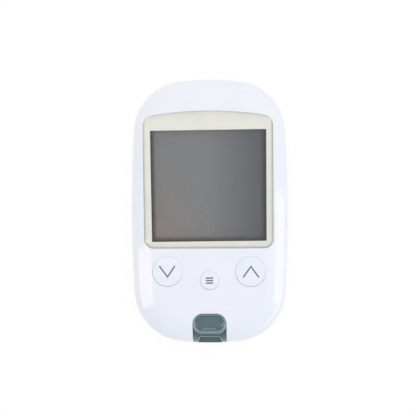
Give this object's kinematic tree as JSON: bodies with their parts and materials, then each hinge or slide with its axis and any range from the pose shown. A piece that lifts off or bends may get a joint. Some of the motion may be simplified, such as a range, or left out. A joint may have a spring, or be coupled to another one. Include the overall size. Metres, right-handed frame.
{
  "type": "blood glucose meter",
  "caption": "Hand-held blood glucose meter with a framed display, round keys, a test strip port with a sliding ejector, and a battery door in its flat back.",
  "frame": {"origin": "on the flat back that the meter rests on, under the middle of the case in plan", "axes": "+Z out of the display face, +Y along the case towards the end above the display, -Y towards the strip mouth, +X to the right of someone who reads the display"},
  "size_m": [0.0572, 0.096, 0.0191],
  "materials": {
    "case_white": "glossy bluish white moulding",
    "key_white": "satin white keycap",
    "clear_acrylic": "clear polished window",
    "cream_print": "cream ink printed behind the window",
    "foam_tape": "black foam tape",
    "dark_polariser": "grey polarising film",
    "display_glass": "polished glass",
    "light_guide": "milky light guide",
    "holder_black": "matt black moulding",
    "zebra_rubber": "layered conductive rubber",
    "board_green": "green solder mask",
    "chip_black": "black moulded component",
    "can_metal": "drawn metal can",
    "slate_plastic": "satin blue-grey moulding",
    "spring_steel": "drawn spring wire",
    "gold_plate": "gold-plated contact strip",
    "nickel_plate": "nickel-plated contact strip",
    "cell_steel": "bright stainless cell can",
    "screw_steel": "blackened screw steel"
  },
  "bodies": {
    "housing": {"front_cover": "case_white", "rear_cover": "case_white", "display_lens": "clear_acrylic", "lens_mask": "cream_print", "lens_adhesive": "foam_tape", "lcd_front_polariser": "dark_polariser", "lcd_front_glass": "display_glass", "lcd_rear_glass": "display_glass", "lcd_rear_polariser": "dark_polariser", "backlight_panel": "light_guide", "lcd_holder": "holder_black", "zebra_strip": "zebra_rubber", "main_board": "board_green", "processor_chip": "chip_black", "memory_chip": "chip_black", "crystal": "can_metal", "buzzer": "chip_black", "switch_body_down": "chip_black", "switch_body_mode": "chip_black", "switch_body_up": "chip_black", "strip_port": "slate_plastic", "ejector_spring": "spring_steel", "strip_connector": "chip_black", "strip_contact_1": "gold_plate", "strip_contact_2": "gold_plate", "strip_contact_3": "gold_plate", "strip_contact_4": "gold_plate", "battery_1": "cell_steel", "battery_2": "cell_steel", "battery_contact_neg_1": "nickel_plate", "battery_contact_neg_2": "nickel_plate", "battery_contact_pos_1": "nickel_plate", "battery_contact_pos_2": "nickel_plate", "case_screw_1": "screw_steel", "case_screw_2": "screw_steel", "case_screw_3": "screw_steel", "case_screw_4": "screw_steel"},
    "key_down": {"button_down": "key_white", "switch_plunger_down": "holder_black"},
    "key_mode": {"button_mode": "key_white", "switch_plunger_mode": "holder_black"},
    "key_up": {"button_up": "key_white", "switch_plunger_up": "holder_black"},
    "ejector": {"ejector_button": "slate_plastic", "ejector_pusher": "slate_plastic"},
    "door": {"battery_door": "case_white"}
  },
  "joints": [
    {"name": "key_down_press", "type": "slide", "parent": "housing", "child": "key_down", "axis": [0, 0, -1], "range_m": [0, 0.0005], "stiffness_N_per_m": 400},
    {"name": "key_mode_press", "type": "slide", "parent": "housing", "child": "key_mode", "axis": [0, 0, -1], "range_m": [0, 0.0005], "stiffness_N_per_m": 400},
    {"name": "key_up_press", "type": "slide", "parent": "housing", "child": "key_up", "axis": [0, 0, -1], "range_m": [0, 0.0005], "stiffness_N_per_m": 400},
    {"name": "ejector_slide", "type": "slide", "parent": "housing", "child": "ejector", "axis": [0, -1, 0], "range_m": [0, 0.003], "stiffness_N_per_m": 300, "deforming": ["ejector_spring"]},
    {"name": "door_tip", "type": "hinge", "parent": "housing", "child": "door", "pos_m": [0, 0.0265, 0.0001], "axis": [1, 0, 0], "range_deg": [0, 70]}
  ]
}
